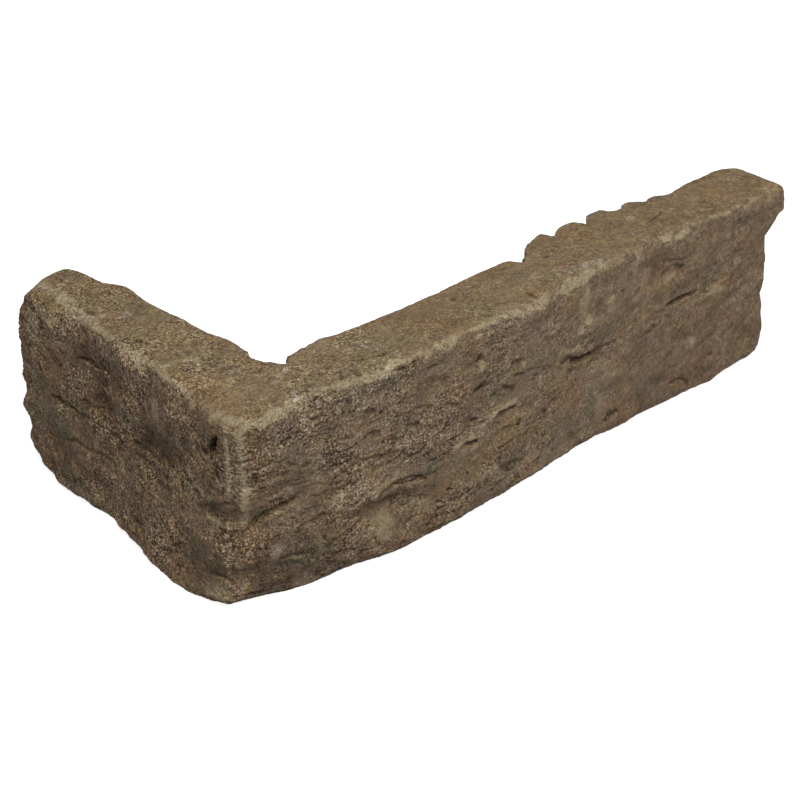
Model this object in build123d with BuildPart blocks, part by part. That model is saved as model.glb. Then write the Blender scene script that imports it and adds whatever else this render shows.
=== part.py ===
from build123d import *
from math import atan2, ceil, cos, exp, sin, tan, tau
import os

# A ledgestone corner tile: one cast stone that turns the outside corner of a wall.
# The origin is the wall's corner at bed level. The long leg runs along +X with its
# split face towards -Y, and the short leg runs along +Y with its face towards -X.

# Overall sizes, in millimetres: the reaches are measured from the wall's corner
height = 64.0
long_reach = 221.0
short_reach = 87.0
long_thickness = 31.0
short_thickness = 31.0

# Worn edges
long_top_round = [(0, 3.2)]
short_top_round = [(0, 3.2), (60, 4), (84, 6), (104, 9)]
bed_round = 3.0
corner_chamfer = 3.5
end_round = 2.5

# The back rises straight from the bed to this height, then leans to its top edge
back_break_height = 24.0
back_round = 2.5

# How finely the stone is cut into facets, and how uneven they are
station_pitch = 7.5
face_rows = 10
top_rows = 2
roughness = 0.5
bedding_sway = 1.2

# The sections turn the corner about a pivot that lies this far inside the wall
pivot_inset = 9.0
back_overlap = 4.0
bed_overlap = 4.0

# How far each split face stands out of its plane at the foot, at mid height and at the
# top, by distance from the outer corner
long_foot = [(0, 0), (5, 3), (17, 6), (34, 9.5), (52, 11.5), (85, 12), (118, 9.5), (146, 5), (207, 5.5), (240, 2)]
long_middle = [(0, 1), (6, 2), (14, 3.5), (40, 6), (72, 6), (100, 6.5), (140, 3), (190, 1.5), (240, 0)]
long_top = [(0, -1), (4, 2), (12, 5.5), (28, 2.5), (40, 4.5), (80, 5.5), (124, 5), (137, 0.5), (190, -1), (240, 0.5)]
short_foot = [(0, 2), (8, 7), (23, 10), (38, 9), (50, 6), (66, 3), (86, 4.5), (104, 2.5), (116, -1.5)]
short_middle = [(0, 1), (12, 3), (30, 2), (50, 0), (70, -1), (104, 1)]
short_top = [(0, 0), (6, 0), (20, -2), (50, -1.5), (68, -2), (86, -2), (108, 0.5)]

# Hollows and knobs: distance from the outer corner, height, half length, half height,
# and how far they stand out (minus for a hollow)
long_marks = [
    (57, 14, 14, 5, -4.0),
    (54, 5, 6, 4, 2.0),
    (14, 28, 12, 3, -2.0),
    (80, 26, 22, 4, 1.5),
    (148, 32, 12, 4, -2.0),
    (178, 58, 7, 6, -2.0),
    (198, 38, 14, 3, -1.5),
    (216, 34, 9, 5, 1.5),
]
short_marks = [
    (39, 37, 12, 7, -4.0),
    (34, 53, 6, 9, 1.5),
    (74, 55, 12, 5, -2.0),
    (16, 31, 16, 3, -2.0),
    (20, 11, 14, 4, -1.5),
    (66, 27, 12, 5, 1.5),
    (90, 19, 12, 3, -1.5),
    (115, 34, 6, 4, 1.8),
    (113, 21, 6, 5, 1.8),
]

# The broken ends: how far the face has fallen away by distance from the end, below the
# long leg's overhanging lip, above it, and at the short leg's end
long_end_fall = [(0, 8), (5, 5), (9, 1), (12, 0)]
long_lip_fall = [(0, 0.8), (3, 0)]
lip_height = 51.0
short_end_fall = [(0, 1.5), (4, 0)]
short_end_droop = [(0, 1), (6, 0)]

# The top's back edge: how far it stands off the wall, by distance from the long leg's
# end on the long leg and from the wall's corner on the short one
long_back = [(2, 8), (9, 4), (16, 4), (33, 5.5), (37, 8), (61, 6), (110, 7), (117, 8.5), (205, 8.3)]
short_back = [(3, 0), (9, 0), (24, 2.5), (62, 3.5), (70, 7), (81, 9.5), (85, 11)]
corner_back = 1.5

# Lobes along that edge, placed from the long leg's end: distance, half length and the
# gap left to the wall
long_lobes = [(99.5, 8.6, 1.2), (83.5, 7.8, 0), (68.5, 7.6, 0), (54, 6.8, 1.7), (43, 5.5, 4.5)]
lobe_depth = 8.0
lobe_sides = 16
lobe_drop = 0.3
lobe_height = 27.0
lobe_taper = 5.0

# Chips broken out of that edge: distance from the long leg's end, width and depth
back_chips = [(114, 5, 4), (217.3, 6, 5)]
chip_height = 5.0
chip_room = 2.0

# Crevices along the bedding: distance from the outer corner, height, length, width and tilt
long_crevices = [(12, 28.5, 24, 3.2, 15), (64, 21, 17, 2.4, -13), (146, 32.3, 14, 2.6, -10), (196, 37.4, 20, 2, -3)]
short_crevices = [(46, 32, 20, 2.4, -3), (77, 51, 16, 2.2, -1), (90, 31, 20, 2.2, -2)]
crevice_depth = 2.2

# The slot-shaped void in the short face, beside the outer corner
void_length = 10.5
void_width = 3.6
void_depth = 7.0
void_from_corner = 9.0
void_from_top = 11.2
void_tilt = 57.0

# Cutters start this far outside the face they cut
clearance = 3.0


def along(points, s):
    """The value at s of a line drawn through the points, level beyond its ends."""
    if s <= points[0][0]:
        return points[0][1]
    for (s0, v0), (s1, v1) in zip(points, points[1:]):
        if s <= s1:
            return v0 + (v1 - v0) * (s - s0) / (s1 - s0)
    return points[-1][1]


def relief(foot, middle, top, marks, s, z):
    """How far a split face stands out of its plane at distance s and height z."""
    level = 2 * z / height
    lower, upper, blend = (foot, middle, level) if level < 1 else (middle, top, level - 1)
    stand = along(lower, s) * (1 - blend) + along(upper, s) * blend
    for place, centre, half_length, half_height, depth in marks:
        stand += depth * exp(-(((s - place) / half_length) ** 2) - ((z - centre) / half_height) ** 2)
    ripple = sin(0.11 * s + 0.43 * z) + sin(0.27 * s - 0.24 * z + 1.3) + sin(0.17 * s + 0.66 * z + 4.1)
    return stand + roughness * ripple


def long_relief(s, z):
    """The long leg's face, falling away at the broken end below and above its lip."""
    from_end = long_reach + short_thickness - s
    fall = long_lip_fall if z > lip_height else long_end_fall
    return relief(long_foot, long_middle, long_top, long_marks, s, z) - along(fall, from_end)


def short_relief(s, z):
    """The short leg's face, falling away at its broken end."""
    from_end = short_reach + long_thickness - s
    return relief(short_foot, short_middle, short_top, short_marks, s, z) - along(short_end_fall, from_end)


def outline(reach, back, top, top_round, shrink, s):
    """A closed section: reach(z) and back are distances from the pivot, top is its height."""
    points = [(reach(0) - bed_round, -bed_overlap), (reach(0) - bed_round / 2, bed_round / 4)]
    rise = top - top_round - bed_round - shrink
    for row in range(face_rows):
        sway = bedding_sway * sin(0.07 * s + 2.1 * row) if 0 < row < face_rows - 1 else 0
        z = bed_round + rise * row / (face_rows - 1) + sway
        points.append((reach(z) - shrink, z))
    brow = reach(top) - shrink
    points.append((brow - 0.3 * top_round, top - 0.3 * top_round - shrink))
    flat = brow - top_round - back - 0.4 * back_round
    for row in range(top_rows + 1):
        out = brow - top_round - flat * row / top_rows
        points.append((out, top - shrink + 0.3 * roughness * sin(1.3 * out + row)))
    points.append((back + shrink, top - back_round - shrink))
    points.append((back_overlap, back_break_height))
    points.append((back_overlap, -bed_overlap))
    return points


def fan(offset, depth):
    """Where a section stands that passes a face point this far before its pivot: lean and stretch."""
    lean = atan2(max(pivot_inset - offset, 0), pivot_inset + depth)
    return lean, 1 / cos(lean)


def long_section(x, shrink=0.0):
    """The plane and outline of the section that meets the long face at x."""
    lean, stretch = fan(x, long_thickness)
    s = x + short_thickness
    plane = Plane(
        origin=(max(x, pivot_inset), pivot_inset, 0),
        x_dir=(-sin(lean), -cos(lean), 0),
        z_dir=(-cos(lean), sin(lean), 0),
    )
    back = (pivot_inset + along(long_back, long_reach - x)) * stretch
    if x < pivot_inset:
        back = min(back, (pivot_inset + corner_back) / max(sin(lean), 0.01))
    reach = lambda z: (pivot_inset + long_thickness + long_relief(s, z)) * stretch
    return plane, outline(reach, back, height, along(long_top_round, s), shrink, s)


def short_section(y, shrink=0.0):
    """The plane and outline of the section that meets the short face at y."""
    lean, stretch = fan(y, short_thickness)
    s = y + long_thickness
    plane = Plane(
        origin=(pivot_inset, max(y, pivot_inset), 0),
        x_dir=(-cos(lean), -sin(lean), 0),
        z_dir=(-sin(lean), cos(lean), 0),
    )
    back_y = y if y > pivot_inset else pivot_inset * (1 - tan(lean))
    back = (pivot_inset + along(short_back, back_y)) * stretch
    reach = lambda z: (pivot_inset + short_thickness + short_relief(s, z)) * stretch
    droop = along(short_end_droop, short_reach - y)
    return plane, outline(reach, back, height - droop, along(short_top_round, s), shrink, s)


def long_plane(s, z):
    """The sketch plane just outside the long face there."""
    out = long_thickness + long_relief(s, z) + clearance
    return Plane((s - short_thickness, -out, z), x_dir=(1, 0, 0), z_dir=(0, -1, 0))


def short_plane(s, z):
    """The sketch plane just outside the short face there."""
    out = short_thickness + short_relief(s, z) + clearance
    return Plane((-out, s - long_thickness, z), x_dir=(0, -1, 0), z_dir=(-1, 0, 0))


def lens(length, width, tilt):
    """A six-sided lens, drawn in the sketch that is open."""
    half, wide = length / 2, width / 2
    corners = [(-half, 0), (-half / 2, -wide), (half / 2, -wide), (half, 0), (half / 3, wide), (-half / 2, wide)]
    Polygon(*corners, rotation=tilt)


def stations(start, stop):
    """Evenly spaced places from start to stop, about station_pitch apart."""
    count = ceil((stop - start) / station_pitch)
    return [start + (stop - start) * i / count for i in range(count + 1)]


long_places = stations(corner_chamfer - short_thickness, long_reach - end_round)
short_places = stations(corner_chamfer - long_thickness, short_reach - end_round)
sections = [long_section(long_reach, end_round)]
sections += [long_section(x) for x in reversed(long_places)]
sections += [short_section(y) for y in short_places]
sections += [short_section(short_reach, end_round)]

with BuildPart() as lobes:
    # the lobes that fill the gap behind the top's back edge
    for from_end, half_length, gap in long_lobes:
        turns = [tau * i / lobe_sides for i in range(lobe_sides)]
        corners = [(half_length * cos(turn), lobe_depth * sin(turn)) for turn in turns]
        with BuildSketch(Plane.XY.offset(height - lobe_drop)):
            with Locations((long_reach - from_end, -gap - lobe_depth)):
                Polygon(*corners, align=None)
        extrude(amount=-lobe_height, taper=lobe_taper)

with BuildPart() as hollows:
    # the crevices along the bedding of both faces
    for s, z, length, width, tilt in long_crevices:
        with BuildSketch(long_plane(s, z)):
            lens(length, width, tilt)
        extrude(amount=-clearance - crevice_depth)
    for s, z, length, width, tilt in short_crevices:
        with BuildSketch(short_plane(s, z)):
            lens(length, width, tilt)
        extrude(amount=-clearance - crevice_depth)
    # the void beside the outer corner
    with BuildSketch(short_plane(void_from_corner, height - void_from_top)):
        Ellipse(void_length / 2, void_width / 2, rotation=void_tilt)
    extrude(amount=-clearance - void_depth)
    # the chips broken out of the back edge
    with BuildSketch(Plane.XY.offset(height + clearance)):
        for from_end, width, depth in back_chips:
            with Locations((long_reach - from_end, -along(long_back, from_end))):
                Polygon((-width, chip_room), (0, -depth), (width, chip_room), align=None)
    extrude(amount=-clearance - chip_height)
    # the room behind the stone, for the wall, and below it, for the bed
    Box(2 * long_reach, 2 * short_reach, 2 * height, align=(Align.MIN, Align.MIN, Align.CENTER))
    with Locations((0, 0, -bed_overlap)):
        Box(4 * long_reach, 4 * short_reach, 2 * bed_overlap)

with BuildPart() as stone:
    # the whole stone as one loft of flat facets, from end to end round the corner
    for plane, points in sections:
        with BuildSketch(plane):
            with BuildLine():
                Polyline(*points, close=True)
            make_face()
    loft(ruled=True)
    add(lobes.part)
    add(hollows.part, mode=Mode.SUBTRACT)

os.makedirs("parts", exist_ok=True)
stone.part.label = "corner_stone"
export_step(stone.part, "parts/corner_stone.step")
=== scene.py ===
from itertools import product
from math import radians

import bpy
import numpy as np
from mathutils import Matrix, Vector


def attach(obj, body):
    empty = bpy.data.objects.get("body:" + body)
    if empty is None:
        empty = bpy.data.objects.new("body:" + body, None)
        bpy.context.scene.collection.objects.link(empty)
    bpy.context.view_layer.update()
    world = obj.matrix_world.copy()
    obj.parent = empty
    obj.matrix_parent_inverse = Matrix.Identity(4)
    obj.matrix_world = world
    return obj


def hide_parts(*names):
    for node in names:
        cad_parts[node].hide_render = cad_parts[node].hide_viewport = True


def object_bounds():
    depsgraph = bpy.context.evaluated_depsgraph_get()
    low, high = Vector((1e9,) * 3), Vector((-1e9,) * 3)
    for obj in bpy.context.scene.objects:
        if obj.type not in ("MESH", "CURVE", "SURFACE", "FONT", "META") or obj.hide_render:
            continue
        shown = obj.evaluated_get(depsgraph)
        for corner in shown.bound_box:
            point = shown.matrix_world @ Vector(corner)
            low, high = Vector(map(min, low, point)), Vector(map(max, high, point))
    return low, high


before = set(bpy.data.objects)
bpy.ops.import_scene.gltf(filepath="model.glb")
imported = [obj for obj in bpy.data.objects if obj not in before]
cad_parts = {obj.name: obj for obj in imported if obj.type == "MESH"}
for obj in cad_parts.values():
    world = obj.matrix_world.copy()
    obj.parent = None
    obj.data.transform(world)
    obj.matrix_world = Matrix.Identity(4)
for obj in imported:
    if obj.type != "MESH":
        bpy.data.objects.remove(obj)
cad_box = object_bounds()

# The ledgestone corner tile in the frame of the CAD part: the wall's corner is the origin,
# the long leg runs along +X with its split face towards -Y, and the short leg runs along +Y
# with its split face towards -X. Blender's units are metres, and shapes are worked out here
# in millimetres.
MM = 0.001
VOXEL = 0.46
MOST_TRIANGLES = 196000
BOX_MARGIN = 0.001

# Rounds of smoothing: the facets of the split faces first, and then the whole stone
FACET_ROUNDS, EDGE_ROUNDS = 18, 3
# The hole beside the corner stays sharp this far around its middle
VOID_PLACE = (-31.0, -22.0, 52.8)
VOID_REACH = 8
# How far the bedding rises along the long leg, how much more it does so beyond this place,
# and how far it rises along the short leg
RISE_LONG, RISE_RIGHT, RISE_SHORT = 0.09, 0.13, 0.456
STEEPER_FROM = 125
# Grooves and pits are cut a little narrower and shallower than the tables give them
GROOVE_WIDTH, GROOVE_DEPTH, PIT_WIDTH = 0.75, 0.8, 0.8
# The top lies a little lower than the CAD solid's, and the rough upper backs are uneven
TOP_SINK = 0.05
BACK_RELIEF = 0.3

FLOOR_WIDTH = 6.0
PAPER_GLOW = 0.86

# Colours of the stone, from its darkest grain to its brightest
BROWN = [
    (0.08, (0.029, 0.018, 0.010)),
    (0.32, (0.100, 0.067, 0.041)),
    (0.5, (0.181, 0.127, 0.081)),
    (0.68, (0.285, 0.208, 0.136)),
    (0.92, (0.50, 0.41, 0.30)),
]
WORN_BUFF = [
    (0.1, (0.126, 0.096, 0.054)),
    (0.5, (0.303, 0.236, 0.144)),
    (0.9, (0.525, 0.437, 0.283)),
]
CHALK = [(0.1, (0.22, 0.18, 0.14)), (0.5, (0.36, 0.303, 0.232)), (0.9, (0.55, 0.49, 0.41))]
# The brown drifts in clouds and from fleck to fleck: scale, detail and roughness of the noise,
# and the tints from its low places to its high ones
HUE_NOISES = [
    (60, 3, 0.6, [(0.36, (0.95, 0.995, 1.0)), (0.5, (1, 1, 1)), (0.64, (1.04, 0.98, 0.92))]),
    (420, 1, 0.5, [(0.36, (1.02, 0.985, 1.07)), (0.5, (1, 1, 1)), (0.64, (1.0, 1.01, 0.88))]),
]
TOP_TINT = (1.09, 1.09, 0.95)
# Tint of the dark mark: painted shade in the hollows, grooves, pits and the hole beside the corner,
# and darker places of the stone
SHADE_AND_DARK_TINT = (0.29, 0.26, 0.23)
# Tints of the short leg and of the right-hand end: the x in metres where each starts and is
# full, and the tint
LEG_TINTS = [(-0.015, -0.030, (1.02, 0.98, 0.93)), (0.1, 0.17, (1.0, 0.97, 0.965))]
# Stains: mark, tint and strength
STAINS = [
    ("red", (1.0, 0.89, 0.8), 0.8),
    ("ochre", (1.06, 0.95, 0.72), 1.0),
    ("green", (0.74, 0.88, 0.86), 1.0),
]

# Places on the split faces are given by how far they lie round the outer corner (x - y, so
# the short leg is negative) and by their height. Places on the top are given by x and y.

# Grooves of the split faces, with shade painted down them in the colour: half width, depth and the
# line they follow
GROOVES = [
    (0.5, 0.5, (0, 50), (4, 50.6), (10, 50.3)),
    (0.6, 0.5, (6, 42.6), (10, 42.5)),
    (0.4, 0.4, (3, 47), (12, 47.3), (22, 46.6)),
    (0.4, 0.5, (8, 38.8), (16, 38.4), (27, 37.2)),
    (0.4, 0.5, (10, 36.2), (20, 36), (30, 35.2)),
    (0.4, 0.4, (24, 33.6), (33, 33.4), (44, 31.6)),
    (0.4, 0.4, (30, 30.4), (40, 29.4), (50, 28.6)),
    (0.5, 0.4, (7, 43.9), (10, 43.9)),
    (0.8, 0.7, (12, 43.3), (16, 43.4), (19, 42), (22, 41.8)),
    (0.6, 0.6, (22, 45.1), (24, 43.5), (26, 42.6)),
    (0.8, 0.6, (28, 41.3), (31, 40.7)),
    (0.6, 0.6, (34, 38.5), (38, 39.1), (43, 39.3), (47, 39.3)),
    (0.5, 0.5, (35, 37.4), (41, 37.7)),
    (0.6, 0.6, (44, 34.5), (49, 35.3), (58, 34.6), (67, 33)),
    (0.6, 0.5, (61, 38.6), (68, 36.9)),
    (0.8, 0.9, (52, 42.1), (54, 42.7), (58, 42.3)),
    (0.9, 0.9, (53, 51), (56, 50.7)),
    (1.1, 1.0, (67, 60.6), (69, 60.2)),
    (0.9, 0.6, (-16, 29.5), (-11, 31.9), (-7, 34.1), (-4, 35.3), (0, 35.8), (3, 34.2)),
    (0.8, 0.8, (-10, 29.6), (-8, 29.4)),
    (0.8, 0.8, (-6, 25.9), (0, 26), (5, 25.2), (9, 25.5), (11, 25.9)),
    (0.9, 0.7, (9, 26.8), (12, 30), (16, 29), (22, 30)),
    (0.8, 0.8, (14, 33.5), (18, 32.2), (25, 31.9)),
    (0.6, 0.5, (28, 27.1), (39, 25.2)),
    (0.7, 0.6, (33, 22.4), (38, 21.3)),
    (0.6, 0.6, (26, 21.1), (33, 21.6)),
    (0.7, 0.7, (37, 19), (37, 17.7)),
    (1.1, 1.1, (36, 14.5), (36, 14.1)),
    (0.8, 0.7, (34, 13.8), (34, 13.4)),
    (1.0, 0.8, (19, 12.5), (24, 12.2), (31, 11.2)),
    (1.1, 0.6, (17, 10.6), (27, 8.8)),
    (0.9, 0.8, (30, 9.5), (38, 9.2), (46, 7.4), (56, 4.7)),
    (0.8, 0.8, (59, 22.5), (65, 23.1)),
    (0.8, 0.4, (67, 21), (70, 19.6), (76, 19), (85, 20.4)),
    (0.7, 0.6, (74, 45.2), (80, 43.1)),
    (0.8, 0.7, (87, 41.5), (93, 40.6)),
    (0.8, 0.7, (99, 42), (103, 43.3)),
    (0.8, 0.7, (94, 42.6), (94, 42.1)),
    (1.1, 1.1, (112, 38.1), (116, 36.8)),
    (1.0, 1.1, (110, 29.6), (116, 29.2)),
    (1.2, 1.3, (96, 25.2), (100, 25.1)),
    (0.6, 0.5, (70, 39.9), (74, 39.2)),
    (0.7, 0.6, (82, 32.5), (86, 32.9)),
    (0.9, 0.6, (87, 5.3), (94, 5.4)),
    (1.1, 0.9, (112, 11), (121, 8.7)),
    (0.8, 0.6, (113, 9.9), (117, 8.2)),
    (0.8, 0.9, (116, 45.2), (120, 45.4)),
    (0.6, 0.6, (116, 40.7), (121, 39.8)),
    (0.5, 0.4, (123, 40.2), (133, 36.6)),
    (1.3, 1.4, (139, 34.4), (143, 35), (148, 31.5), (152, 32.4), (157, 32.3)),
    (0.6, 0.6, (157, 32.3), (165, 33.3)),
    (0.6, 0.5, (142, 32.4), (142, 29.1)),
    (1.1, 1.1, (163, 8), (167, 7.1)),
    (1.0, 0.9, (161, 6.7), (163, 6.4)),
    (0.7, 0.8, (188, 36.9), (206, 37.6)),
    (0.9, 0.9, (184, 31.9), (184, 31.7)),
    (0.9, 0.9, (215, 10.9), (216, 11)),
    (0.9, 0.9, (194, 7.4), (198, 7.7), (202, 6.8), (204, 4.4)),
    (0.6, 0.5, (177, 30.7), (183, 30.9)),
    (1.1, 0.9, (194, 50.9), (198, 49.5)),
    (0.5, 0.4, (190, 53.6), (200, 52.4)),
    (0.9, 0.7, (226, 46.4), (229, 45.8)),
    (0.8, 0.8, (167, 50.9), (168, 50.9)),
    (0.9, 0.6, (-81, 50.7), (-77, 50), (-74, 49.9)),
    (0.8, 0.8, (-67, 51.4), (-64, 51.3)),
    (1.2, 1.1, (-79, 36.2), (-77, 36)),
    (0.9, 0.8, (-98, 31), (-96, 30.4)),
    (0.7, 0.7, (-75, 35.6), (-66, 37.4)),
    (0.7, 0.5, (-86, 29.8), (-79, 31.7)),
    (0.7, 0.7, (-71, 40.6), (-68, 42)),
    (0.8, 0.7, (-102, 15.1), (-91, 18.3), (-86, 19.8), (-77, 19.3), (-65, 21.6)),
    (0.8, 0.7, (-64, 31.7), (-56, 32.5)),
    (0.8, 0.5, (-51, 33.9), (-50, 31.1)),
    (0.9, 0.6, (-47, 30.7), (-38, 30.8)),
    (0.8, 0.8, (-27, 41.8), (-26, 41.3)),
    (0.8, 0.7, (-38, 26.4), (-32, 27.5)),
    (0.8, 0.5, (-10, 40.2), (-12, 37.8)),
    (0.8, 0.4, (-13, 43.4), (-14, 39.4)),
    (1.3, 1.2, (-51, 8), (-48, 6.2)),
    (0.9, 0.7, (-37, 8.4), (-32, 8.8)),
    (0.9, 0.9, (-10, 9.5), (-6, 9.6), (-2, 8.2)),
    (0.9, 0.8, (-101, 7.3), (-99, 6.4)),
]

# Ledges and ridges: half width, height, how buff they are worn and the line they follow
LEDGES = [
    (1.8, 1.1, 0.0, (1, 25.4), (12, 28.5), (23, 31.6)),
    (1.8, 1.4, 0.0, (56, 22.9), (72, 19.1)),
    (1.5, 0.4, 0.0, (139, 33.5), (153, 31.1)),
    (1.5, 0.8, 0.0, (186, 37.9), (206, 36.9)),
    (1.6, 1.1, 0.0, (-34, 32), (-58, 32)),
    (1.4, 0.8, 0.0, (-69, 51), (-85, 51)),
    (1.4, 0.8, 0.0, (-80, 31), (-100, 31)),
    (1.0, 0.3, 1.0, (-2, 62.5), (-2, 46.5), (-2.5, 37.8)),
    (1.7, 0.3, 0.85, (3.5, 62), (4.5, 50.7), (5, 38), (4, 30.1)),
    (1.6, 0.5, 0.7, (-12, 28.3), (-9, 28.4), (-2, 27.2)),
    (1.1, 0.5, 0.4, (14, 34.9), (23, 34.6)),
    (0.8, 0.4, 0.35, (21, 28.9), (30, 27.1), (40, 24.7)),
    (1.5, 0.6, 0.7, (40, 25.3), (46, 26.8)),
    (0.5, 0.5, 0.5, (46, 20.2), (54, 22.5), (61, 23.8), (67, 25.5)),
    (0.8, 0.8, 0.9, (92, 25.8), (96, 26.8), (102, 26.5)),
    (1.2, 0.8, 0.8, (106, 29.4), (109, 31.8), (116, 31)),
    (1.2, 0.4, 0.5, (67, 11.3), (74, 12.6), (77, 10.8), (75, 8.8)),
    (1.8, 0.4, 0.5, (175, 63), (174, 59.8), (173, 55.3)),
    (0.8, 0.5, 0.6, (-23, 38.1), (-19, 34.3), (-13, 34), (-10, 35.6)),
    (0.8, 0.5, 0.4, (-70, 20), (-60, 21), (-55, 21.3)),
    (1.3, 0.5, 0.6, (-73, 26.6), (-74, 21.6)),
    (0.9, 0.4, 0.3, (189, 35.3), (197, 34.6)),
    (1.2, 0.4, 0.4, (138, 38.9), (152, 35.6)),
    (1.2, 0.4, 0.3, (155, 17), (161, 18.6)),
    (0.8, 0.4, 0.3, (214, 47.9), (219, 44.5)),
]

# Hollows and knobs: place, half length, half height and how far they stand out
LUMPS = [
    (59, 10.5, 6, 5, 1.0),
    (51, 11, 3, 3, 0.5),
    (72, 15, 9, 5, -0.8),
    (54, 17, 10, 4, -0.5),
    (97, 31, 3, 3, -0.9),
    (97, 54, 5, 5, -0.9),
    (186, 55, 8, 6, -1.2),
    (149, 50, 4, 7, 0.45),
    (156, 49.5, 3, 4, -0.4),
    (-44, 36, 12, 7, -0.5),
    (-39, 50, 4, 5, 0.7),
    (-52, 45, 5, 5, 0.6),
    (-69, 42, 6, 8, -0.6),
    (-49, 7.5, 3, 4, -0.9),
    (10, 29, 10, 3, -0.4),
    (-7, 31.5, 8, 2.5, -0.6),
    (200, 41, 8, 4, -0.5),
]
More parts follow.
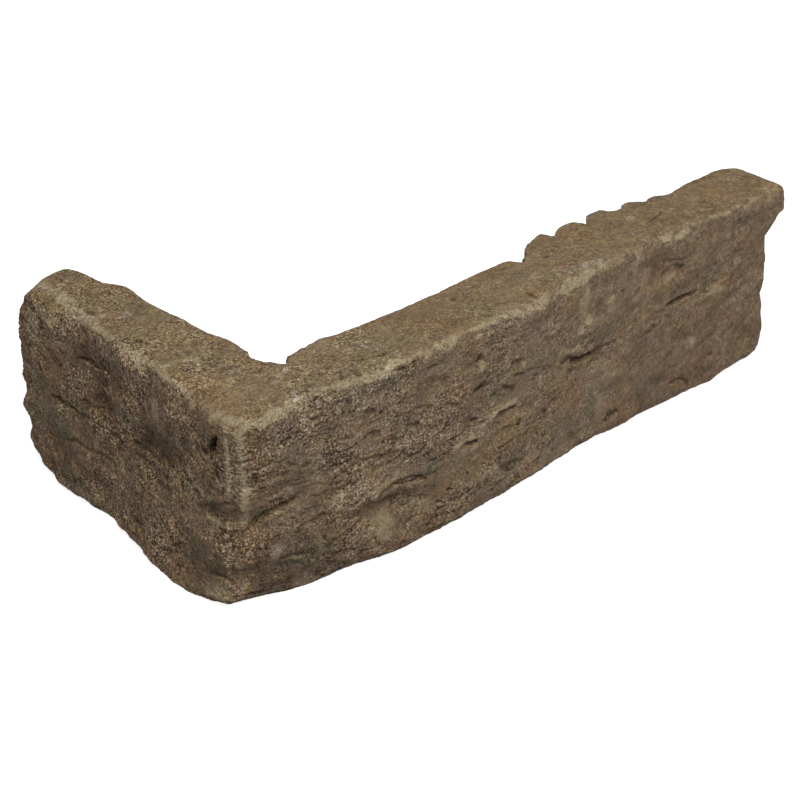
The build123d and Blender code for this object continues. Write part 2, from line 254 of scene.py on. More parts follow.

# Worn spots, stains, and the dark mark, which paints shade into hollows, deep grooves and the hole
# beside the corner and also darkens broader places: place, half length, half height and strength
PATCHES = {
    "buff": [
        (59, 10.5, 5, 5, 0.8), (51, 11, 3, 3, 0.45), (57, 6, 5, 2.5, 0.25),
        (-11, 23.7, 1.5, 1.5, 0.8), (149, 50.5, 3.4, 6.5, 0.7), (148, 44, 2.5, 2.5, 0.6),
        (143, 49.8, 2, 2, 0.4), (162, 49, 2.5, 4, 0.4), (216, 35, 4.5, 3, 0.6),
        (227, 33, 5, 1.5, 0.4), (227, 43.2, 3.5, 1.2, 0.4), (190, 47.8, 5, 2.2, 0.4),
        (152, 5.2, 4, 2.5, 0.4), (181, 34, 2.5, 1.2, 0.4), (121, 43.1, 1.2, 1.2, 0.7),
        (129, 34, 1, 1, 0.5), (42, 23, 1.5, 1.2, 0.5), (78, 9.8, 2, 2, 0.5),
        (-39, 50.5, 2.2, 4, 0.85), (-48, 42, 3, 2, 0.5), (-38, 60, 3, 2, 0.5), (-52, 42, 4, 3, 0.3),
        (-101, 46.6, 4, 4.5, 0.4), (-45, 9.5, 1.4, 2, 0.7), (-9, 4.6, 6, 2.4, 0.6),
        (-52, 52, 1.6, 2.5, 0.5), (-83, 27.3, 3.5, 1, 0.4), (12, 23.1, 1.5, 1.2, 0.4),
        (1, 14, 1.6, 2, 0.5), (97, 34, 2.5, 1, 0.4), (-99, 60, 7, 3, 0.6), (-108, 52, 4, 6, 0.5),
        (102, 50.3, 1.4, 2.5, 0.6), (204, 19.5, 2.5, 2.5, 0.5), (158, 16, 2.5, 2.5, 0.4),
        (2, 59, 7, 3, 0.3),
    ],
    "pale": [
        (18, 16.5, 3.6, 1.7, 0.9), (16.5, 14.2, 2.6, 1, 0.8), (-3, 8.1, 1, 0.8, 0.8),
        (205, 19.5, 2, 2, 0.4),
    ],
    "ochre": [
        (115, 21.5, 9, 7, 0.55), (98, 16, 10, 5, 0.5), (87, 13.7, 3, 3, 0.6), (-101, 47, 5, 6, 0.3),
        (186, 48, 12, 3, 0.4), (216, 34, 8, 5, 0.4), (124, 20, 6, 8, 0.3), (235, 7, 4, 4, 0.5),
    ],
    "red": [
        (58, 17, 12, 5, 0.6), (36, 18.7, 10, 5, 0.4), (201, 27, 10, 5, 0.4), (139, 22, 10, 6, 0.45),
        (210, 8.8, 10, 4, 0.5), (175, 7.2, 12, 4, 0.6), (170, 25, 8, 10, 0.35),
        (-69, 43.4, 6, 9, 0.5), (-81, 46, 6, 6, 0.35), (-105, 54, 8, 6, 0.4), (-60, 30, 5, 4, 0.4),
        (-35, 17, 8, 5, 0.35), (-27, 5.6, 10, 4, 0.4), (20, 22, 12, 3, 0.4), (230, 50, 8, 5, 0.35),
        (84, 14, 5, 4, 0.4), (-39, 35, 9, 5, 0.8), (-59, 33, 5, 4, 0.6), (-61, 17, 6, 5, 0.5),
        (-78, 49, 6, 5, 0.4), (-46, 45, 5, 4, 0.5),
    ],
    "green": [
        (62, 59.8, 2.4, 2.6, 0.8), (80, 22.5, 3.5, 4, 0.8), (90, 22, 1.8, 2.4, 0.7),
        (139, 11.4, 10, 8, 0.6), (154, 14, 5, 5, 0.6), (184, 9.9, 9, 7, 0.4),
        (214, 40.7, 6.5, 2.6, 1.0), (192, 42, 9, 3, 0.6), (230, 6.4, 8, 4, 0.4),
        (159, 40, 9, 3.5, 0.5), (112, 39, 5, 3, 0.5), (25, 10.7, 8, 2.2, 1.0), (36, 12, 5, 3, 0.7),
        (-8, 10.8, 6, 4, 0.7), (10, 28, 9, 3, 0.7), (-7, 32.5, 9, 2.5, 0.8), (108, 38.3, 4, 3, 0.5),
        (116, 11, 7, 3, 0.7), (-102, 33.6, 6, 5, 0.8), (-95, 21, 7, 5, 0.8), (-108, 22, 5, 4, 0.6),
        (-56, 41, 5, 2.4, 0.8), (-26, 46.5, 8, 5, 0.5), (-50, 24.5, 8, 2.5, 0.6),
        (-10, 43, 3, 2.5, 0.6), (-17, 15.8, 9, 4, 0.6), (-40, 12.7, 4, 3, 0.6),
        (-87, 6.2, 8, 4, 0.6), (-46, 15.6, 4, 3, 0.4), (-24, 31, 5, 3, 0.5),
    ],
    # The dark mark paints shade into the hollows, the hole beside the corner and some deep grooves,
    # and darkens broader places, most of them low on the faces
    "dark": [
        (-40, 38, 13, 5.4, 0.8), (-44, 31, 7, 2.4, 0.7), (-25, 31, 4, 2, 0.35),
        (-72, 51, 14, 6, 0.5), (-68, 40, 7, 4, 0.5), (22, 12, 28, 11, 0.5), (-7.2, 56, 1.3, 2, 1.0),
        (-8.8, 52.8, 1.4, 2.4, 1.0), (-10.4, 49.6, 1.3, 2, 1.0), (195, 18, 40, 24, 0.18),
        (-15, 12, 15, 9, 0.42), (15, 33, 26, 9, 0.28), (97, 31, 2.8, 2.4, 0.6),
        (186, 54, 7, 6, 0.5), (156, 49.4, 2.2, 3.4, 0.5), (97, 54, 3, 4, 0.35),
        (70, 20.5, 9, 2, 0.5), (10, 28.5, 8, 2.2, 0.5), (-8, 31.5, 7, 2, 0.5),
        (57, 6, 50, 14, 0.36), (-90, 13, 22, 8, 0.42), (14, 6, 16, 6, 0.62), (240, 9, 16, 9, 0.3),
        (195, 7, 45, 6, 0.32), (-50, 7, 2.5, 2.6, 0.6), (145, 32, 5, 2.2, 0.65),
        (-69, 40, 5, 6, 0.3), (22, 10, 9, 2, 0.4), (12, 25, 5, 2.4, 0.5), (-23, 47, 4, 2.6, 0.5),
        (-49, 24, 5, 1.8, 0.5), (34, 22, 4, 1.8, 0.5), (125, 28, 4, 1.8, 0.5),
        (34, 14, 4, 1.8, 0.4), (156, 24, 4, 1.8, 0.4),
    ],
}

# The top's front edge is worn buff: half width of the wear, its strength and the line it follows
WORN_EDGE = [
    (2.0, 0.8, (-23, 82), (-23, 70), (-24, 61), (-25, 50)),
    (1.3, 0.58, (-25, 50), (-26, 41), (-27, 31)),
    (1.2, 0.6, (-27, 31), (-27, 14), (-28, -2), (-29, -19), (-30, -27)),
    (1.3, 0.9, (-30, -27), (-27, -33), (-22, -35), (-13, -33.5), (-5, -32.5)),
    (1.3, 0.55, (-5, -32.5), (10, -34.5), (25, -35.5), (48, -35)),
    (1.6, 0.58, (48, -35), (74, -35), (95, -35), (106, -31.5)),
    (1.3, 0.55, (106, -31.5), (125, -31), (150, -30), (165, -30)),
    (0.8, 0.55, (165, -30), (190, -30), (221, -28)),
]
# Pits and pale scratches of the top, with shade painted down the pits in the colour: half width,
# depth or strength and the line they follow
TOP_PITS = [
    (1.0, 0.8, (-22, 54), (-22, 53.5)),
    (0.7, 0.5, (-22, 29), (-21, 27)),
    (0.8, 0.9, (17, -30), (17, -33)),
    (0.8, 0.8, (28, -28), (30, -29)),
    (0.8, 0.8, (93, -29), (92, -31), (93, -32)),
    (0.7, 0.6, (162, -18), (166, -17), (170, -16)),
    (0.9, 0.6, (71, -16), (71.5, -16)),
    (0.8, 0.6, (115, -14), (116, -14)),
]
TOP_PALE = [
    (1.2, 0.6, (-17, 45), (-13, 45)),
    (1.5, 0.5, (-22, 51), (-21, 50)),
    (0.5, 0.6, (-27, 10), (-24, 10), (-21, 9)),
    (0.4, 0.45, (-19, 8), (-14, 7)),
    (0.5, 0.6, (-7, -20.5), (-1, -19)),
    (0.5, 0.65, (-3, -18), (4, -16)),
    (0.4, 0.5, (-6, -23), (-2, -22)),
    (0.5, 0.5, (1, -20), (6, -18.5)),
    (0.6, 0.6, (-5, -29), (-7, -32)),
    (0.7, 0.4, (29, -17), (30, -26)),
    (1.0, 0.4, (-12, -7), (-9, -6)),
    (2.0, 0.4, (111, -25), (127, -28)),
    (1.4, 0.4, (158, -12), (160, -12)),
]

# The rim of the stone swells a little in places: place, how far the swelling reaches, and
# which way and how far it goes
SWELLINGS = [
    (-1, -39, 3, 5, 0, -1.0, 0),
    (10, -41, 3, 7, 0, -1.2, 0),
    (23, -43, 3, 7, 0, -1.3, 0),
    (28, -42, 3, 4, 0, -0.8, 0),
    (34, -42, 3, 5, 0, -0.6, 0),
    (46, -42, 3, 6, 0, -1.2, 0),
    (53, -42, 4, 5, 0, -1.7, 0),
    (74, -40, 3, 6, 0, -1.6, 0),
    (119, -35, 3, 7, 0, -2.2, 0),
    (126, -36, 3, 5, 0, -0.8, 0),
    (130, -36, 3, 6, 0, -1.2, 0),
    (137, -36, 4, 4, 0, -1.0, 0),
    (166, -36, 3, 4, 0, -0.8, 0),
    (183, -35, 4, 6, 0, -1.6, 0),
    (191, -34, 4, 5, 0, -1.3, 0),
    (196, -34, 4, 5, 0, -0.8, 0),
    (206, -33, 8, 5, 0.7, -0.7, 0),
    (209, -31, 34, 8, 1.4, 0, 0),
    (209, -32, 13, 6, 1.0, 0, 0),
    (210, -31, 44, 3.5, -3.2, 0, 0),
    (210, -31, 38, 3, 1.0, 0, 0),
    (211, -31, 49.5, 4, 2.8, 0, 0),
    (211, -31, 54, 4, 2.6, 0, 0),
    (217, -28, 60, 9, 2.0, 0, 0),
    (214, -31, 56, 4, 1.6, 0, 0),
    (219, -16, 64, 9, 1.0, 0.5, 0),
    (214, -8, 64, 8, 0.6, 0.8, 0),
    (195, -6, 64, 6, 0, 0.8, 0),
    (181, -9, 64, 4, 0, 2.1, 0),
    (172, -5, 64, 5, 0, 0.8, 0),
    (174, -7, 64, 3, 0, 1.2, 0),
    (160, -7, 64, 3, 0, 3.4, 0),
    (154, -3, 64, 4, 0, 2.4, 0),
    (149, -2, 64, 4, 0, 0.4, 0),
    (141, -5, 64, 3.5, 0, 3.2, 0),
    (127, -5, 64, 4, 0, 4.6, 0),
    (119, -4, 64, 3, 0, -1.0, 0),
    (109, -11, 64, 4, 0, -1.4, 0),
    (52, -12, 64, 4, 0, -0.8, 0),
    (7, -11, 64, 4, 0, -0.8, 0),
    (102, -11, 64, 6, 0, 1.4, 0),
    (90, -10, 64, 14, 0, 1.9, 0),
    (22, -10, 64, 4, 0, 1.5, 0),
    (-4, -9, 64, 7, 1.2, 1.0, 0),
    (-3, 8, 64, 9, 1.2, 0, 0),
    (-4, 28, 64, 11, 1.6, 0, 0),
    (-6, 62, 64, 9, 1.6, 0, 0),
    (-12, 82, 62, 9, 1.6, 1.6, 0.8),
    (-26, 85, 61, 5, 0.4, -0.6, -0.4),
    (-27, 80, 63, 4, -0.9, 0.6, 0.9),
    (-33, 83, 39, 3, -0.6, 1.6, 0),
    (-33, 83, 27, 5, 0.8, -1.4, 0),
    (-33, 82, 20, 4, -0.4, 1.0, 0),
    (-32, 79, 8, 4.5, -0.6, 4.0, 0),
    (-35, 71, 5, 4, -1.4, 0.6, 0),
    (-35, 60, 3, 4, -1.0, 0, 0),
    (-35, 53, 3, 6, -1.6, 0, 0),
    (-35, 44, 3, 5, -1.3, 0, 0),
    (-35, 62, 3, 5, -0.8, 0, 0),
    (-36, 27, 3, 4, -0.6, 0, 0),
    (-39, 4, 3, 6, -1.8, 0, 0),
]


# ---------------------------------------------------------------- camera
def place_camera():
    """The camera of the main view, above the outer corner of the stone."""
    data = bpy.data.cameras.new("camera")
    data.lens, data.sensor_width = 95.79, 36.0
    data.clip_start, data.clip_end = 0.05, 20.0
    camera = bpy.data.objects.new("camera", data)
    camera.location = (-0.3480, -0.4681, 0.3868)
    camera.rotation_euler = (radians(59.59), 0, radians(-41.33))
    bpy.context.scene.collection.objects.link(camera)
    bpy.context.scene.camera = camera


# ---------------------------------------------------------------- noise
# Slopes that the noise draws from, and the primes that scatter its cells over them
SLOPES = np.random.default_rng(64).normal(size=(4096, 3)).astype(np.float32)
SLOPES /= np.linalg.norm(SLOPES, axis=1)[:, None]
CELL_PRIMES = (73856093, 19349663, 83492791)
SEED_PRIME, SCATTER_PRIME = 40503, 668265263
CORNERS = list(product((0, 1), repeat=3))


def noise(points, size, seed):
    """Smooth noise about zero, with lumps of this size in millimetres along each axis."""
    cell = points / np.asarray(size, np.float32)
    base = np.floor(cell)
    part = (cell - base).astype(np.float32)
    base = base.astype(np.int64)
    ease = part * part * part * (part * (part * 6 - 15) + 10)
    total = np.zeros(len(points), np.float32)
    for corner in CORNERS:
        x, y, z = ((base + corner) * CELL_PRIMES).T
        key = x ^ y ^ z ^ seed * SEED_PRIME
        key = (key ^ key >> 11) * SCATTER_PRIME
        slope = SLOPES[(key ^ key >> 15) & len(SLOPES) - 1]
        weight = np.prod(np.where(corner, ease, 1 - ease), axis=1)
        total += weight * np.einsum("ij,ij->i", slope, part - np.float32(corner))
    return total * 1.6


def layered(points, size, seed, octaves, fade=0.5):
    """Noise with finer and fainter noise on top of it."""
    total = 0
    for octave in range(octaves):
        total = total + fade**octave * noise(points, np.asarray(size) / 2**octave, seed + octave)
    return total


def step(low, high, value):
    """0 at low, 1 at high, and smooth between them."""
    t = np.clip((value - low) / (high - low), 0, 1)
    return t * t * (3 - 2 * t)


# ---------------------------------------------------------------- mesh tools
def mesh_object(name, mesh):
    piece = bpy.data.objects.new(name, mesh)
    bpy.context.scene.collection.objects.link(piece)
    return piece


def worked(piece, kind, **settings):
    """Applies one of Blender's modifiers to the piece."""
    modifier = piece.modifiers.new(kind.lower(), kind)
    for key, value in settings.items():
        setattr(modifier, key, value)
    bpy.context.view_layer.update()
    depsgraph = bpy.context.evaluated_depsgraph_get()
    mesh = bpy.data.meshes.new_from_object(piece.evaluated_get(depsgraph))
    piece.modifiers.clear()
    old = piece.data
    piece.data = mesh
    bpy.data.meshes.remove(old)


def read(collection, name):
    """The vectors of this name, one row each."""
    flat = np.empty(len(collection) * 3, np.float32)
    collection.foreach_get(name, flat)
    return flat.reshape(-1, 3)


def put(mesh, points):
    """Moves the vertices to these places in millimetres."""
    mesh.vertices.foreach_set("co", (points * MM).astype(np.float32).ravel())
    mesh.update()


# ---------------------------------------------------------------- places on the stone
def bedding(points):
    """The points along, across and through the bedding, which leans and steepens to the right."""
    x, y, z = points.T
    steeper = np.maximum(x - STEEPER_FROM, 0) * step(90, 160, x)
    rise = RISE_LONG * x + RISE_RIGHT * steeper + RISE_SHORT * y
    return np.stack([x, y, z - rise], axis=1)


def near_line(u, v, line):
    """How far each point of a face lies from a line drawn through these places."""
    best = np.full(len(u), 1e6, np.float32)
    for (u0, v0), (u1, v1) in zip(line, line[1:]):
        du, dv = u1 - u0, v1 - v0
        t = np.clip(((u - u0) * du + (v - v0) * dv) / (du * du + dv * dv), 0, 1)
        best = np.minimum(best, np.hypot(u - u0 - t * du, v - v0 - t * dv))
    return best


def on_line(u, v, line, width):
    """1 on the line, and fading to 0 over about this half width."""
    return np.exp(-((near_line(u, v, line) / width) ** 2))


def spots(u, v, wobble, places):
    """The strongest of several ragged spots at each point."""
    total = np.zeros(len(v), np.float32)
    for place, height, half_length, half_height, strength in places:
        far = np.hypot((u - place) / half_length, (v - height) / half_height) + wobble
        total = np.maximum(total, strength * step(1.35, 0.45, far))
    return total


class Faces:
    """Where each point of the stone lies, and how much it belongs to each side."""

    def __init__(self, mesh):
        self.points = read(mesh.vertices, "co") / MM
        self.out = read(mesh.vertex_normals, "vector")
        x, y, z = self.points.T
        self.top = step(0.5, 0.85, self.out[:, 2])
        # the sides against the wall, with a soft border over the edge of the top
        long_back = np.where(x > -2, step(-11, -4, y), 0)
        short_back = np.where(y > -2, step(-11, -4, x), 0)
        self.back = np.maximum(long_back, short_back) * (1 - self.top)
        self.front = (1 - self.top) * (1 - self.back)
        # 0 on the flat bed and the flat back faces, which stay as they are
        self.off_bed = step(0.3, 2.5, z)
        self.off_wall = np.where(x > -1, step(-0.2, -2.5, y), 1)
        self.off_wall *= np.where(y > -1, step(-0.2, -2.5, x), 1)
        # where the tables' places lie, swayed a little so that no line runs straight
        sway = layered(self.points, (7, 7, 7), 91, 2)
        self.round_corner = x - y + 0.9 * sway
        self.height = z + 0.7 * layered(self.points, (6, 6, 5), 95, 2)
        self.across = x + 0.8 * sway
        self.along = y + 0.8 * layered(self.points, (6, 6, 6), 97, 2)


# ---------------------------------------------------------------- the stone's relief
def terrace(value, rise):
    """Turns a smooth value into crisp ledges of this height."""
    level = np.floor(value)
    return rise * (level + step(0.6, 1.0, value - level))


def split_relief(faces):
    """How far the split faces stand out of their plain shape."""
    points = faces.points
    bed = bedding(points)
    swept = bed + np.outer(noise(points, (30, 30, 14), 3), (0, 0, 2.2))
    crisp = swept + np.outer(noise(points, (5, 5, 4), 5), (0, 0, 0.8))
    relief = 0.2 * layered(points, (22, 22, 14), 11, 2)
    relief += terrace(1.6 * noise(crisp, (34, 34, 6), 21), 0.17)
    # the right-hand end is smoother than the rest
    rough = 0.35 + 0.65 * step(165, 110, faces.round_corner)
    relief += rough * terrace(1.8 * noise(crisp, (19, 19, 3), 22), 0.15)
    relief += rough * 0.16 * noise(swept, (6, 6, 1.3), 23)
    relief += rough * 0.12 * noise(points, (4.4, 4.4, 3.4), 31)
    relief += rough * 0.17 * noise(points, (2.1, 2.1, 1.6), 32)
    relief += rough * 0.26 * noise(points, (1.3, 1.3, 1.0), 33)
    relief -= rough * 0.8 * step(0.5, 0.95, noise(points, (3.6, 3.6, 2.2), 41))
    u, v = faces.round_corner, faces.height
    for place, height, half_length, half_height, stand in LUMPS:
        far = -(((u - place) / half_length) ** 2) - ((v - height) / half_height) ** 2
        relief += stand * np.exp(far)
    for width, depth, *line in GROOVES:
        relief -= GROOVE_DEPTH * depth * on_line(u, v, line, GROOVE_WIDTH * width)
    for width, stand, _, *line in LEDGES:
        relief += stand * on_line(u, v, line, width)
    return relief


def top_relief(faces):
    """The top is nearly flat, with shallow scars."""
    points = faces.points
    swept = bedding(points)
    relief = 0.2 * layered(points, (11, 11, 11), 51, 2) + 0.08 * noise(swept, (9, 9, 1.2), 53)
    relief += 0.1 * noise(points, (2.6, 2.6, 2.6), 55) + 0.08 * noise(points, (1.3, 1.3, 1.3), 56)
    relief -= 0.5 * step(0.5, 0.9, noise(points, (3.2, 3.2, 3.2), 57))
    for width, depth, *line in TOP_PITS:
        relief -= depth * on_line(faces.across, faces.along, line, PIT_WIDTH * width)
    return relief - TOP_SINK


def swell(mesh):
    """Pushes the rim out where the stone swells, and in where it is chipped."""
    points = read(mesh.vertices, "co") / MM
    pushed = points.copy()
    for x, y, z, reach, *push in SWELLINGS:
        far = np.linalg.norm(points - (x, y, z), axis=1) / reach
        pushed += np.outer(np.exp(-(far**2)), push)
    put(mesh, pushed)


def carve(mesh):
    """Cuts the relief into the stone, but leaves its flat bed and flat back faces."""
    faces = Faces(mesh)
    relief = split_relief(faces) * faces.front
    relief += top_relief(faces) * faces.top
    relief += BACK_RELIEF * layered(faces.points, (8, 8, 8), 61, 3) * faces.back
    push = faces.out * (relief * faces.off_wall)[:, None]
    push[:, 2] *= faces.off_bed
    put(mesh, faces.points + push)


def inside_cad(mesh):
    """Keeps every point inside the CAD part's box and out of the wall."""
    points = read(mesh.vertices, "co") / MM
    low, high = (np.array(corner) / MM for corner in cad_box)
    points = np.clip(points, low + BOX_MARGIN, high - BOX_MARGIN)
    wall = (points[:, 0] > 0) & (points[:, 1] > 0)
    beside_long = wall & (points[:, 1] < points[:, 0])
    points[beside_long, 1] = 0
    points[wall & ~beside_long, 0] = 0
    put(mesh, points)


def soften(stone):
    """Melts the facets of the split faces, but leaves the flat sides and the void sharp."""
    faces = Faces(stone.data)
    off_void = np.linalg.norm(faces.points - np.array(VOID_PLACE), axis=1) > VOID_REACH
    soft = np.flatnonzero((faces.off_bed * faces.off_wall > 0.99) & off_void)
    group = stone.vertex_groups.new(name="soft")
    group.add(soft.tolist(), 1.0, "REPLACE")
    worked(stone, "SMOOTH", factor=0.5, iterations=FACET_ROUNDS, vertex_group="soft")
    worked(stone, "SMOOTH", factor=0.5, iterations=EDGE_ROUNDS)
    stone.vertex_groups.clear()


# ---------------------------------------------------------------- marks for the material
def groove_and_pit_shade(faces):
    """Painted shade down in the grooves of the split faces and in the pits of the top."""
    dark = np.zeros(len(faces.points), np.float32)
    for width, depth, *line in GROOVES:
        near = on_line(faces.round_corner, faces.height, line, 1.1 * width)
        dark = np.maximum(dark, min(1, 0.42 + 0.5 * depth) * near * (1 - faces.top))
    for width, _, *line in TOP_PITS:
        near = on_line(faces.across, faces.along, line, width)
        dark = np.maximum(dark, near * faces.top)
    return dark


def worn_lines(faces, wobble):
    """Buff along the worn ledges and along the top's front edge."""
    buff = np.zeros(len(faces.points), np.float32)
    for width, _, worn, *line in LEDGES:
        near = on_line(faces.round_corner, faces.height, line, 1.2 * width)
        buff = np.maximum(buff, worn * near * (1 - faces.top))
    edge = np.zeros(len(faces.points), np.float32)
    for width, strength, *line in WORN_EDGE:
        far = near_line(faces.across, faces.along, line) / width + wobble
        edge = np.maximum(edge, strength * step(1.7, 0.3, far))
    patchy = 0.95 + 0.9 * layered(faces.points, (14, 14, 14), 75, 3)
    upward = step(0.15, 0.5, faces.out[:, 2])
    return np.maximum(buff, patchy * edge * upward * step(56, 62, faces.points[:, 2]))


def pale_streaks(faces, wobble):
    """Pale scratches on the top."""
    pale = np.zeros(len(faces.points), np.float32)
    for width, strength, *line in TOP_PALE:
        far = near_line(faces.across, faces.along, line) / width + wobble
        pale = np.maximum(pale, strength * step(1.4, 0.5, far) * faces.top)
    return pale


def finish_marks(mesh):
    """Keeps on every vertex where the stone is worn and stained, and where shade is painted into
    its hollows, for the material.
    """
    faces = Faces(mesh)
    wobble = 0.45 * layered(faces.points, (5, 5, 4), 71, 3, 0.6)
    marks = {
        name: spots(faces.round_corner, faces.height, wobble, places) * (1 - faces.top)
        for name, places in PATCHES.items()
    }
    # painted shade down the grooves and pits joins the dark mark
    marks["dark"] = np.maximum(marks["dark"], groove_and_pit_shade(faces))
    marks["buff"] = np.maximum(marks["buff"], worn_lines(faces, wobble))
    marks["pale"] = np.maximum(marks["pale"], pale_streaks(faces, wobble))
    marks["top"] = faces.top
    for name, values in marks.items():
        layer = mesh.attributes.new(name, "FLOAT", "POINT")
        layer.data.foreach_set("value", values.astype(np.float32))
    layer = mesh.attributes.new("bedding", "FLOAT_VECTOR", "POINT")
    layer.data.foreach_set("vector", bedding(faces.points).astype(np.float32).ravel())


def make_stone(material):
    """The dressed stone, made from a copy of the CAD solid that it replaces."""
    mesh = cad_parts["corner_stone"].data.copy()
    mesh.materials.clear()
    stone = mesh_object("split_corner_stone", mesh)
    worked(stone, "WELD", merge_threshold=0.00001)
    worked(stone, "REMESH", mode="VOXEL", voxel_size=VOXEL * MM)
    soften(stone)
    swell(stone.data)
    carve(stone.data)
    worked(stone, "TRIANGULATE")
    worked(stone, "DECIMATE", ratio=min(1.0, MOST_TRIANGLES / len(stone.data.polygons)))
    inside_cad(stone.data)
    finish_marks(stone.data)
    stone.data.shade_smooth()
    stone.data.materials.append(material)
    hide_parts("corner_stone")
    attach(stone, "root")


# ---------------------------------------------------------------- materials
class Nodes:
    """A material's node tree, with short ways to add nodes and join them."""

    def __init__(self, material):
        material.use_nodes = True
        self.tree = material.node_tree
        self.shader = self.tree.nodes["Principled BSDF"]

    def add(self, kind, inputs=(), **settings):
        node = self.tree.nodes.new("ShaderNode" + kind)
        for key, value in settings.items():
            setattr(node, key, value)
        for socket, value in dict(inputs).items():
            self.join(value, node.inputs[socket])
        return node

    def join(self, value, socket):
        if isinstance(value, bpy.types.NodeSocket):
            self.tree.links.new(value, socket)
        else:
            socket.default_value = value

    def math(self, operation, a, b=0.0, clamp=False):
        return self.add("Math", {0: a, 1: b}, operation=operation, use_clamp=clamp).outputs[0]

    def times(self, first, *others):
        """The product of several values."""
        for value in others:
            first = self.math("MULTIPLY", first, value)
        return first

    def total(self, parts, start=0.0):
        """The sum of several values, each times its own strength."""
        for value, strength in parts:
            start = self.math("ADD", self.math("MULTIPLY", value, strength), start)
        return start

    def weigh(self, parts):
        """The sum of noises about zero, each times its own strength."""
        about_zero = [(self.math("SUBTRACT", noise, 0.5), strength) for noise, strength in parts]
        return self.total(about_zero)

    def remap(self, value, low, high, to_low=0.0, to_high=1.0):
        node = self.add("MapRange", {"Value": value, "From Min": low, "From Max": high})
        node.inputs["To Min"].default_value, node.inputs["To Max"].default_value = to_low, to_high
        return node.outputs["Result"]

    def mark(self, name):
        return self.add("Attribute", attribute_name=name).outputs["Fac"]

    def stretch(self, vector, scale):
        return self.add("VectorMath", {0: vector, 1: scale}, operation="MULTIPLY").outputs[0]

    def noise(self, vector, scale, detail, roughness=0.5):
        inputs = {"Vector": vector, "Scale": scale, "Detail": detail, "Roughness": roughness}
        return self.add("TexNoise", inputs).outputs["Fac"]

    def vein(self, vector, width):
        """1 along the thin winding lines where a noise crosses its mean."""
        off = self.math("ABSOLUTE", self.math("SUBTRACT", self.noise(vector, 1, 1), 0.5))
        return self.remap(off, 0.0, width, 1, 0)

    def ragged(self, name, wobble):
        """The mark with its soft border broken up by a noise about zero."""
        value = self.mark(name)
        border = self.remap(self.math("ADD", value, wobble), 0.1, 0.75)
        return self.math("MULTIPLY", border, self.math("MULTIPLY", value, 5, clamp=True))

    def ramp(self, value, stops):
        node = self.add("ValToRGB", {"Fac": value})
        points = node.color_ramp.elements
        while len(points) < len(stops):
            points.new(0.5)
        for point, (place, color) in zip(points, stops):
            point.position, point.color = place, (*color, 1)
        return node.outputs["Color"]

    def mix(self, amount, a, b, blend="MIX"):
        node = self.add("Mix", {0: amount, 6: a, 7: b}, data_type="RGBA", blend_type=blend)
        return node.outputs[2]

    def tinted(self, color, tint, amount):
        """The colour, multiplied by a tint as far as the amount says."""
        return self.mix(amount, color, self.mix(1.0, color, (*tint, 1), "MULTIPLY"))


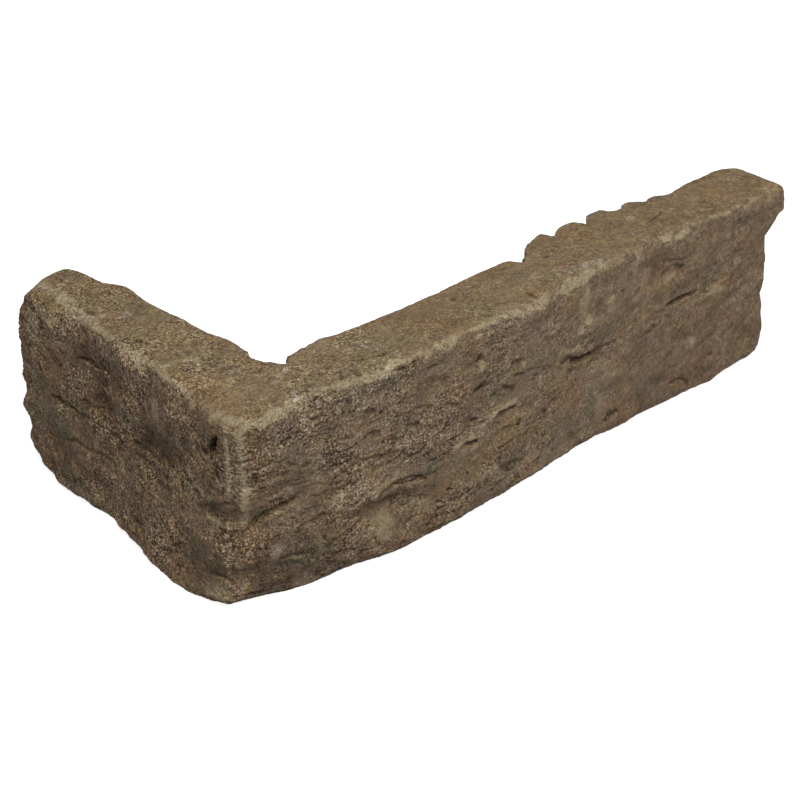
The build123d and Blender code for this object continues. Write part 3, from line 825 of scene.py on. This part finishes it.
class SplitStone(Nodes):
    """The places and noises that the stone's tone, colour and fine bumps share."""

    def __init__(self, material):
        super().__init__(material)
        self.place = self.add("TexCoord").outputs["Object"]
        self.along = self.add("SeparateXYZ", {"Vector": self.place}).outputs["X"]
        self.top = self.mark("top")
        self.bed = self.add("Attribute", attribute_name="bedding").outputs["Vector"]
        swirl = self.add("TexNoise", {"Vector": self.bed, "Scale": 0.2, "Detail": 2})
        half = (0.5, 0.5, 0.5)
        swirl = self.add("VectorMath", {0: swirl.outputs["Color"], 1: half}, operation="SUBTRACT")
        drift = self.stretch(swirl.outputs[0], (3, 3, 3))
        self.warped = self.add("VectorMath", {0: self.bed, 1: drift}).outputs[0]
        self.thin = self.noise(self.stretch(self.warped, (0.42, 0.46, 2.0)), 1, 3, 0.65)
        self.patch = self.noise(self.stretch(self.warped, (0.1, 0.12, 0.35)), 1, 3, 0.6)
        self.grain = self.noise(self.place, 1400, 1, 0.6)
        self.grit = self.noise(self.place, 640, 1)
        self.blotch = self.noise(self.place, 330, 3, 0.6)

    def calm(self):
        """How strongly the grain shows: most on the short leg, least at the right-hand end."""
        return self.times(
            self.remap(self.along, -0.030, -0.015, 1.3, 0.95),
            self.remap(self.along, 0.01, 0.09, 1.0, 0.62),
            self.remap(self.along, 0.09, 0.16, 1.0, 0.6),
            self.remap(self.top, 0, 1, 1, 0.85),
            self.remap(self.noise(self.place, 70, 3), 0.36, 0.62, 0.45, 1.25),
        )

    def cracks(self):
        """1 along broken cracks that follow the bedding, few on the top and at the right."""
        gaps = self.noise(self.stretch(self.bed, (0.35, 0.35, 0.7)), 1, 1)
        return self.times(
            self.vein(self.stretch(self.bed, (0.06, 0.07, 0.4)), 0.045),
            self.remap(self.top, 0, 1, 1, 0.1),
            self.remap(self.along, 0.07, 0.13, 1.0, 0.25),
            self.remap(self.noise(self.place, 80, 3), 0.45, 0.54),
            self.remap(gaps, 0.42, 0.56),
        )

    def specks(self):
        """Light grains and dark pits, each in its own patches."""
        speck = self.noise(self.stretch(self.bed, (0.8, 0.8, 1.5)), 1, 1)
        light = self.times(self.remap(speck, 0.58, 0.66), self.remap(self.patch, 0.4, 0.58))
        pit = self.times(self.remap(speck, 0.41, 0.33), self.remap(self.patch, 0.56, 0.42))
        return light, pit

    def hairs(self):
        """Winding hair lines in patches: threads and curls are pale, scratches are dark."""
        thread = self.times(
            self.vein(self.stretch(self.warped, (0.3, 0.3, 0.45)), 0.05),
            self.remap(self.noise(self.place, 130, 2), 0.48, 0.6),
        )
        curl = self.times(
            self.vein(self.stretch(self.place, (480, 480, 480)), 0.06),
            self.remap(self.noise(self.place, 190, 1), 0.42, 0.6),
        )
        scratch = self.times(
            self.vein(self.stretch(self.bed, (0.36, 0.36, 0.7)), 0.06),
            self.remap(self.noise(self.place, 170, 1), 0.56, 0.4),
        )
        return thread, curl, scratch

    def mottle(self):
        """Soft blotches of the top and of the smoother right-hand end."""
        right = self.remap(self.along, 0.09, 0.16, 0.1, 1.0)
        amount = self.math("MAXIMUM", right, self.math("MULTIPLY", self.top, 0.5))
        blotches = [(self.grit, 0.38), (self.blotch, 0.28), (self.patch, 0.22)]
        return self.times(amount, self.weigh(blotches))

    def brown(self, tone):
        """The fresh stone's colour, before wear and stains."""
        color = self.ramp(tone, BROWN)
        for scale, detail, roughness, hues in HUE_NOISES:
            hue = self.ramp(self.noise(self.place, scale, detail, roughness), hues)
            color = self.mix(1.0, color, hue, "MULTIPLY")
        color = self.tinted(color, TOP_TINT, self.top)
        for low, high, tint in LEG_TINTS:
            color = self.tinted(color, tint, self.remap(self.along, low, high))
        return color

    def weathered(self, color, tone):
        """The colour with its stains, its worn buff, its pale scratches, and painted shade in its
        hollows, grooves, pits and hole together with its darker places.
        """
        for name, tint, strength in STAINS:
            amount = self.math("MULTIPLY", self.mark(name), strength, clamp=True)
            color = self.tinted(color, tint, amount)
        thin, grain, grit, blotch = self.thin, self.grain, self.grit, self.blotch
        buff = self.ragged("buff", self.weigh([(grain, 0.3), (grit, 0.5), (blotch, 1.1)]))
        color = self.mix(buff, color, self.ramp(tone, WORN_BUFF))
        pale = self.ragged("pale", self.weigh([(thin, 1.6), (grain, 0.8), (blotch, 1.4)]))
        color = self.mix(self.math("MULTIPLY", pale, 0.75), color, self.ramp(tone, CHALK))
        # painted shade in the hollows, grooves, pits and the hole, and darker places, from the dark
        # mark
        dark = self.ragged("dark", self.weigh([(thin, 0.8), (grain, 0.8), (blotch, 2.0)]))
        return self.tinted(color, SHADE_AND_DARK_TINT, self.math("MULTIPLY", dark, 0.8, clamp=True))


def split_stone_material():
    """Brown sandstone with streaks along its bedding, cracks, stains and worn edges."""
    material = bpy.data.materials.new("split_ledgestone")
    made = SplitStone(material)
    calm, crack, mottle = made.calm(), made.cracks(), made.mottle()
    light, pit = made.specks()
    thread, curl, scratch = made.hairs()
    streak = made.noise(made.stretch(made.warped, (0.05, 0.07, 0.3)), 1, 4, 0.62)

    rough = made.weigh([(made.thin, 0.5), (made.grain, 1.4), (made.blotch, 0.25)])
    rough = made.times(rough, calm)
    marks = made.total([(light, 0.16), (pit, -0.2), (curl, 0.17), (scratch, -0.19)])
    marks = made.times(marks, calm)
    tone = made.math("ADD", made.math("ADD", rough, marks), made.weigh([(streak, 0.24)]))
    tone = made.math("ADD", made.math("ADD", tone, mottle), 0.5)
    tone = made.total([(thread, 0.14), (crack, -0.46)], tone)

    shader = made.shader.inputs
    made.join(made.weathered(made.brown(tone), tone), shader["Base Color"])
    shader["Roughness"].default_value = 0.92
    shader["Specular IOR Level"].default_value = 0.25
    height = made.total([(crack, -0.5), (pit, -0.5)], rough)
    bump = made.add("Bump", {"Height": height, "Strength": 0.6, "Distance": 0.0005})
    made.join(bump.outputs["Normal"], shader["Normal"])
    return material


# ---------------------------------------------------------------- studio
def camera_white(tree):
    """1 for rays from the camera, a mirror or glass, and 0 for the light that reaches the stone."""
    path = tree.nodes.new("ShaderNodeLightPath")
    seen = path.outputs["Is Camera Ray"]
    for name in ("Is Glossy Ray", "Is Transmission Ray"):
        either = tree.nodes.new("ShaderNodeMath")
        either.operation = "MAXIMUM"
        tree.links.new(seen, either.inputs[0])
        tree.links.new(path.outputs[name], either.inputs[1])
        seen = either.outputs[0]
    return seen


def make_world():
    """A soft even light, behind a white backdrop that only the camera sees."""
    world = bpy.data.worlds.new("studio")
    bpy.context.scene.world = world
    world.use_nodes = True
    tree = world.node_tree
    soft = tree.nodes["Background"]
    soft.inputs["Color"].default_value = (1, 1, 1, 1)
    soft.inputs["Strength"].default_value = 0.3
    white = tree.nodes.new("ShaderNodeBackground")
    white.inputs["Strength"].default_value = 1
    mix = tree.nodes.new("ShaderNodeMixShader")
    tree.links.new(camera_white(tree), mix.inputs["Fac"])
    tree.links.new(soft.outputs[0], mix.inputs[1])
    tree.links.new(white.outputs[0], mix.inputs[2])
    tree.links.new(mix.outputs[0], tree.nodes["World Output"].inputs["Surface"])


def make_softbox():
    """The main lamp, high in front of the long leg."""
    lamp = bpy.data.lights.new("softbox", "AREA")
    lamp.shape, lamp.size, lamp.energy = "SQUARE", 0.8, 12
    box = bpy.data.objects.new("softbox", lamp)
    target = Vector((0.08, 0.0, 0.03))
    box.location = target + Vector((-0.15, -0.62, 1.05))
    box.rotation_euler = (box.location - target).to_track_quat("Z", "Y").to_euler()
    bpy.context.scene.collection.objects.link(box)


def make_floor():
    """White paper just under the bed, which keeps the stone's shadow."""
    half = FLOOR_WIDTH / 2
    corners = [(-half, -half, 0), (half, -half, 0), (half, half, 0), (-half, half, 0)]
    mesh = bpy.data.meshes.new("floor")
    mesh.from_pydata(corners, [], [(0, 1, 2, 3)])
    floor = mesh_object("floor", mesh)
    floor.location.z = -0.0001
    material = bpy.data.materials.new("white_paper")
    made = Nodes(material)
    made.shader.inputs["Base Color"].default_value = (0.5, 0.5, 0.5, 1)
    made.shader.inputs["Roughness"].default_value = 1
    made.shader.inputs["Emission Color"].default_value = (1, 1, 1, 1)
    glow = made.math("MULTIPLY", camera_white(made.tree), PAPER_GLOW)
    made.join(glow, made.shader.inputs["Emission Strength"])
    mesh.materials.append(material)


place_camera()
make_stone(split_stone_material())
make_world()
make_softbox()
make_floor()

bpy.context.scene.view_settings.view_transform = "Standard"
